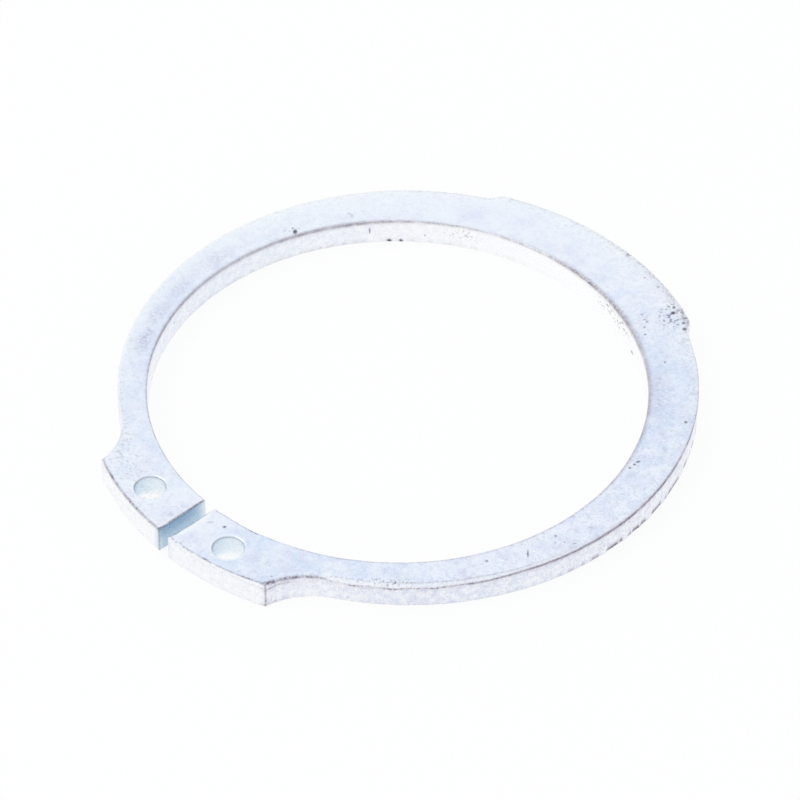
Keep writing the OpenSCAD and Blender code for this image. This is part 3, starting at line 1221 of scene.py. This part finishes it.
@dataclass(frozen=True)
class ZincFinish:
    """Bright zinc plating: pale blue metal with cloudy patches, fine grain, dark creases and marks.

    The dark creases and the dull and blue tints of the walls are painted shade and painted reflections,
    and the shine, the glints and the paler outer edge are painted highlights. Colours come first, then the
    sizes of the noises. A step is a span of values and what becomes of its two ends.
    """

    pale: Colour = (0.89, 0.925, 0.995, 1.0)
    blue: Colour = (0.72, 0.81, 0.96, 1.0)
    lavender: Colour = (0.75, 0.76, 0.92, 1.0)
    grain_dark: Colour = (0.50, 0.51, 0.64, 1.0)
    # Light grain, also used for painted highlights: glints, the shine and the paler outer edge.
    grain_light: Colour = (0.96, 0.98, 1.0, 1.0)
    # Lit and shaded copies of the wall colour: the second is painted shade.
    bright_wall: Colour = (0.988, 0.993, 1.0, 1.0)
    grey_wall: Colour = (0.66, 0.71, 0.86, 1.0)
    wall_speck: Colour = (0.42, 0.38, 0.42, 1.0)
    # Painted reflections: a steel blue of dark surroundings and a light blue of the sky.
    cool_wall: Colour = (0.43, 0.59, 0.735, 1.0)
    sky_wall: Colour = (0.70, 0.86, 1.0, 1.0)
    # Painted shade in creases and on upright edges, partly edge wear and torn edges.
    crease: Colour = (0.165, 0.12, 0.18, 1.0)
    pit: Colour = (0.07, 0.055, 0.08, 1.0)
    # Colour of smudges, and of painted shade where some of them stand.
    smudge: Colour = (0.47, 0.48, 0.66, 1.0)
    grain_size: float = 0.11
    spot_size: float = 0.16
    fray: float = 0.12
    fray_per_mm: float = 12.0
    patches: Cloud = Cloud(0.9, 5.0, 0.6, ((0.35, 0.65), (0.0, 0.8)))
    patch_blue: float = 0.55
    veil: Cloud = Cloud(1.3, 5.0, 0.65, ((0.46, 0.72), (0.0, 0.7)))
    veil_move_m: tuple[float, float, float] = (0.031, 0.017, 0.005)
    blotches: Cloud = Cloud(0.32, 3.0, 0.6, ((0.32, 0.52), (0.26, 0.0)))
    mottle: Cloud = Cloud(0.34, 3.0, 0.55, ((0.36, 0.62), (0.6, 1.3)))
    streaks: Cloud = Cloud(0.18, 3.0, 0.55, ((0.35, 0.65), (0.85, 1.15)))
    streak_squeeze: float = 0.3
    face_grain: Step = ((0.28, 0.50), (0.45, 0.0))
    # Painted glints on the grain.
    face_glint: Step = ((0.54, 0.74), (0.0, 0.55))
    wall_grit: Step = ((0.28, 0.46), (0.8, 0.0))
    spots: Step = ((0.52, 0.68), (0.0, 1.0))
    smears: Step = ((0.38, 0.6), (0.3, 1.2))
    line_gaps: Step = ((0.38, 0.60), (0.0, 0.9))
    metallic: float = 0.92
    roughness: Step = ((0.3, 0.7), (0.36, 0.50))
    wall_smoother: float = -0.15
    dark_rougher: float = 0.3
    bump: float = 0.02
    relief: Step = ((0.0, 1.0), (0.25, 0.06))

    def material(self) -> bpy.types.Material:
        """Makes the finish as a node tree.

        Returns:
            The material.
        """
        made = bpy.data.materials.new("zinc_plating")
        made.use_nodes = True
        sheet = NodeSheet(made.node_tree)
        where = sheet.add("ShaderNodeTexCoord").outputs["Object"]
        grain = sheet.noise(where, self.grain_size * MM, detail=3.0, rough=0.6)

        colour = self.cloudy_face(sheet, where, grain)
        colour = sheet.blend(sheet.value("wall"), colour, self.sheared_wall(sheet, where, grain))
        masks = self.mark_masks(sheet, where)
        fine = sheet.noise(where, self.spot_size * MM)
        spotted = sheet.math("MAXIMUM", masks[MarkKind.SPECKS], sheet.value("speckle"))
        specks = sheet.math("MULTIPLY", sheet.shift(fine, *self.spots), spotted)
        dark = sheet.math("MAXIMUM", masks[MarkKind.PIT], specks)
        # Smudges, some of them painted shade.
        smudge_and_shade_mask = sheet.math("MULTIPLY", masks[MarkKind.SMUDGE], sheet.shift(fine, *self.smears))
        colour = sheet.blend(smudge_and_shade_mask, colour, self.smudge)
        # Scratches, and the painted highlight of the shine.
        bright = sheet.math("MAXIMUM", masks[MarkKind.SCRATCH], sheet.value("shine"))
        colour = sheet.blend(bright, colour, self.grain_light)
        # Painted shade along creases and upright edges, partly edge wear, broken up by the grain.
        missing = sheet.math("MULTIPLY", sheet.shift(grain, *self.line_gaps), sheet.value("breaks"))
        crease = sheet.math("MULTIPLY", sheet.value("crease"), sheet.math("SUBTRACT", 1.0, missing))
        colour = sheet.blend(crease, colour, self.crease)
        colour = sheet.blend(dark, colour, self.pit)

        dull = sheet.math("MAXIMUM", crease, dark)
        rough = sheet.shift(grain, *self.roughness)
        smooth = sheet.math("MULTIPLY", sheet.value("wall"), self.wall_smoother)
        rough = sheet.math("ADD", rough, smooth)
        rough = sheet.math("ADD", rough, sheet.math("MULTIPLY", dull, self.dark_rougher), clamp=True)
        relief = sheet.shift(sheet.value("wall"), *self.relief)
        inputs = {"Strength": relief, "Distance": self.bump * MM, "Height": grain}
        normal = sheet.add("ShaderNodeBump", inputs).outputs[0]
        inputs = {"Base Color": colour, "Metallic": self.metallic, "Roughness": rough, "Normal": normal}
        shader = sheet.add("ShaderNodeBsdfPrincipled", inputs)
        sheet.add("ShaderNodeOutputMaterial", {"Surface": shader.outputs[0]})
        return made

    def cloudy_face(self, sheet: NodeSheet, where: Any, grain: Any) -> Socket:
        """Colour of the flat faces: blue and lavender patches on pale metal, with fine grain, painted
        glints and a painted highlight towards the outer edge.

        Args:
            sheet: the material's nodes.
            where: place on the object.
            grain: fine noise.

        Returns:
            The colour.
        """
        wear = sheet.value("wear")
        blue = sheet.math("ADD", self.patches.at(sheet, where), self.patch_blue)
        blue = sheet.math("SUBTRACT", blue, sheet.value("tone"), clamp=True)
        colour = sheet.blend(blue, self.pale, self.blue)
        inputs = {"Vector": where, "Location": self.veil_move_m}
        moved = sheet.add("ShaderNodeMapping", inputs).outputs[0]
        colour = sheet.blend(self.veil.at(sheet, moved), colour, self.lavender)
        blotched = sheet.math("MULTIPLY", self.blotches.at(sheet, moved), wear, clamp=True)
        colour = sheet.blend(blotched, colour, self.grain_dark)
        grainy = sheet.math("MULTIPLY", sheet.shift(grain, *self.face_grain), wear, clamp=True)
        colour = sheet.blend(grainy, colour, self.grain_dark)
        # Painted glints.
        colour = sheet.blend(sheet.shift(grain, *self.face_glint), colour, self.grain_light)
        # Painted highlight, paler towards the outer edge.
        return sheet.blend(sheet.value("fade"), colour, self.grain_light)

    def sheared_wall(self, sheet: NodeSheet, where: Any, grain: Any) -> Socket:
        """Colour of the walls: bright metal with painted shade and painted steel blue and light blue
        reflections, mottled and faintly streaked by the shearing.

        Args:
            sheet: the material's nodes.
            where: place on the object.
            grain: fine noise.

        Returns:
            The colour.
        """
        grey = sheet.value("grey")
        run = sheet.add("ShaderNodeUVMap", uv_map=UV_MAP).outputs[0]
        inputs = {"Vector": run, "Scale": (1.0, self.streak_squeeze, 1.0)}
        drawn = sheet.add("ShaderNodeMapping", inputs).outputs[0]
        streaks = self.streaks.at(sheet, drawn, unit=1.0)
        mottle = self.mottle.at(sheet, where)
        # Painted shade on the wall, mottled and streaked.
        share = sheet.math("MULTIPLY", sheet.math("MULTIPLY", mottle, streaks), grey, clamp=True)
        colour = sheet.blend(share, self.bright_wall, self.grey_wall)
        speck = sheet.shift(grain, *self.wall_grit)
        speck = sheet.math("MULTIPLY", speck, sheet.value("grit"), clamp=True)
        colour = sheet.blend(speck, colour, self.wall_speck)
        # Painted reflections: the light blue of the sky, then the steel blue of dark surroundings.
        colour = sheet.blend(sheet.value("sky"), colour, self.sky_wall)
        return sheet.blend(sheet.value("cool"), colour, self.cool_wall)

    def mark_masks(self, sheet: NodeSheet, where: Any) -> dict[MarkKind, Socket]:
        """Where each kind of mark shows.

        A kind's mask is the strongest of its marks at each place. A little noise is added to the place
        first, which frays the outlines.

        Args:
            sheet: the material's nodes.
            where: place on the object.

        Returns:
            One mask for each kind.
        """
        inputs = {"Vector": where, "Scale": self.fray_per_mm / MM, "Detail": 2.0}
        fray = sheet.add("ShaderNodeTexNoise", inputs).outputs["Color"]
        away = sheet.vector("SUBTRACT", {0: fray, 1: NOISE_MIDDLE})[0]
        away = sheet.vector("SCALE", {0: away, "Scale": self.fray * MM})[0]
        frayed = sheet.vector("ADD", {0: where, 1: away})[0]
        masks: dict[MarkKind, Socket] = {}
        for kind, (first, *others) in MARKS.items():
            shown = first.mask(sheet, frayed)
            for mark in others:
                shown = sheet.math("MAXIMUM", shown, mark.mask(sheet, frayed))
            masks[kind] = shown
        return masks


@dataclass(frozen=True)
class PhotoCamera:
    """The camera: a long lens that looks down on the ring from its front right."""

    image_px: float = 800.0
    focal_px: float = 4000.0
    sensor_mm: float = 36.0
    elevation: float = 42.928
    azimuth: float = 46.3
    roll: float = 0.343
    distance: float = 207.952
    target: tuple[float, float] = (-0.1597, 0.3229)
    clip_start: float = 10.0

    def place(self) -> bpy.types.Object:
        """Puts the camera on its line of sight and makes it the scene's.

        Azimuth is measured from the front, where the gap is, towards the right. The target is the
        point of the ring's lower plane that the middle of the image shows.

        Returns:
            The camera.
        """
        azimuth = math.radians(self.azimuth)
        elevation = math.radians(self.elevation)
        towards = Vector((math.sin(azimuth), -math.cos(azimuth), 0.0))
        right = Vector((math.cos(azimuth), math.sin(azimuth), 0.0))
        back = towards * math.cos(elevation) + Vector((0.0, 0.0, math.sin(elevation)))
        up = back.cross(right)
        roll = math.radians(self.roll)
        turned_right = right * math.cos(roll) + up * math.sin(roll)
        turned_up = up * math.cos(roll) - right * math.sin(roll)
        eye = (Vector((*self.target, 0.0)) + back * self.distance) * MM
        data = bpy.data.cameras.new("camera")
        data.sensor_width = self.sensor_mm
        data.sensor_fit = "HORIZONTAL"
        data.lens = self.focal_px / self.image_px * self.sensor_mm
        data.clip_start = self.clip_start * MM
        camera = bpy.data.objects.new("camera", data)
        turned = Matrix((turned_right, turned_up, back)).transposed().to_4x4()
        camera.matrix_world = Matrix.Translation(eye) @ turned
        bpy.context.scene.collection.objects.link(camera)
        bpy.context.scene.camera = camera
        return camera


@dataclass(frozen=True)
class Studio:
    """White floor, bright surroundings and one soft lamp at the front left."""

    floor_half_m: float = 1.5
    floor_drop: float = 0.02
    floor_white: float = 0.88
    floor_colour: Colour = (0.95, 0.95, 0.95, 1.0)
    overhead_from: float = 0.7
    overhead: Colour = (0.93, 0.955, 0.98, 1.0)
    horizon: Colour = (1.0, 1.0, 1.0, 1.0)
    sky_strength: float = 1.0
    lamp_power: float = 0.18
    lamp_size_m: float = 0.25
    lamp_place_m: tuple[float, float, float] = (-0.18, -0.28, 0.30)

    def seen_white(self, sheet: NodeSheet) -> Socket:
        """How much of the floor is plain white: most of it for the camera, and all of it in reflections.

        Args:
            sheet: the floor's nodes.

        Returns:
            The share of white, which is none for light that the floor throws back.
        """
        path = sheet.add("ShaderNodeLightPath").outputs
        direct = sheet.math("MULTIPLY", path["Is Camera Ray"], self.floor_white)
        seen = sheet.math("MAXIMUM", direct, path["Is Glossy Ray"])
        return sheet.math("MAXIMUM", seen, path["Is Transmission Ray"])

    def lay_floor(self) -> bpy.types.Object:
        """Lays a square floor just under the ring, white but for the ring's shadow.

        Returns:
            The floor.
        """
        half = self.floor_half_m
        drop = -self.floor_drop * MM
        corners = [(-half, -half, drop), (half, -half, drop), (half, half, drop), (-half, half, drop)]
        mesh = bpy.data.meshes.new("floor")
        mesh.from_pydata(corners, [], [(0, 1, 2, 3)])
        floor = bpy.data.objects.new("floor", mesh)
        bpy.context.scene.collection.objects.link(floor)
        made = bpy.data.materials.new("white_floor")
        made.use_nodes = True
        made.cycles.emission_sampling = "NONE"
        sheet = NodeSheet(made.node_tree)
        matt = sheet.add("ShaderNodeBsdfDiffuse", {"Color": self.floor_colour})
        glow = sheet.add("ShaderNodeEmission", {"Strength": 1.0})
        inputs = {0: self.seen_white(sheet), 1: matt.outputs[0], 2: glow.outputs[0]}
        both = sheet.add("ShaderNodeMixShader", inputs)
        sheet.add("ShaderNodeOutputMaterial", {"Surface": both.outputs[0]})
        mesh.materials.append(made)
        return floor

    def light(self) -> None:
        """Hangs the lamp and lights the surroundings, white at the horizon and cooler overhead."""
        data = bpy.data.lights.new("front_lamp", "AREA")
        data.shape = "DISK"
        data.size = self.lamp_size_m
        data.energy = self.lamp_power
        lamp = bpy.data.objects.new("front_lamp", data)
        lamp.location = self.lamp_place_m
        lamp.rotation_euler = Vector(self.lamp_place_m).to_track_quat("Z", "Y").to_euler()
        bpy.context.scene.collection.objects.link(lamp)

        world = bpy.data.worlds.new("surroundings")
        world.use_nodes = True
        bpy.context.scene.world = world
        sheet = NodeSheet(world.node_tree)
        way = sheet.add("ShaderNodeTexCoord").outputs["Generated"]
        height = sheet.add("ShaderNodeSeparateXYZ", {0: way}).outputs["Z"]
        share = sheet.shift(height, (0.0, self.overhead_from), (0.0, 1.0))
        colour = sheet.blend(share, self.horizon, self.overhead)
        sky = sheet.add("ShaderNodeBackground", {"Color": colour, "Strength": self.sky_strength})
        sheet.add("ShaderNodeOutputWorld", {"Surface": sky.outputs[0]})


def main() -> None:
    """Builds the camera, the studio and the ring, and logs the ring's faces."""
    logging.basicConfig(level=logging.INFO, format="%(name)s: %(message)s")
    bpy.context.scene.view_settings.view_transform = "Standard"
    PhotoCamera().place()
    studio = Studio()
    studio.lay_floor()
    studio.light()
    ring = RetainingRing.from_frame(frame["record"])
    piece = ring.build()
    ring.dress(piece, ZincFinish())
    log.info("%s has %d faces", piece.name, len(piece.data.polygons))


if __name__ == "__main__":
    main()
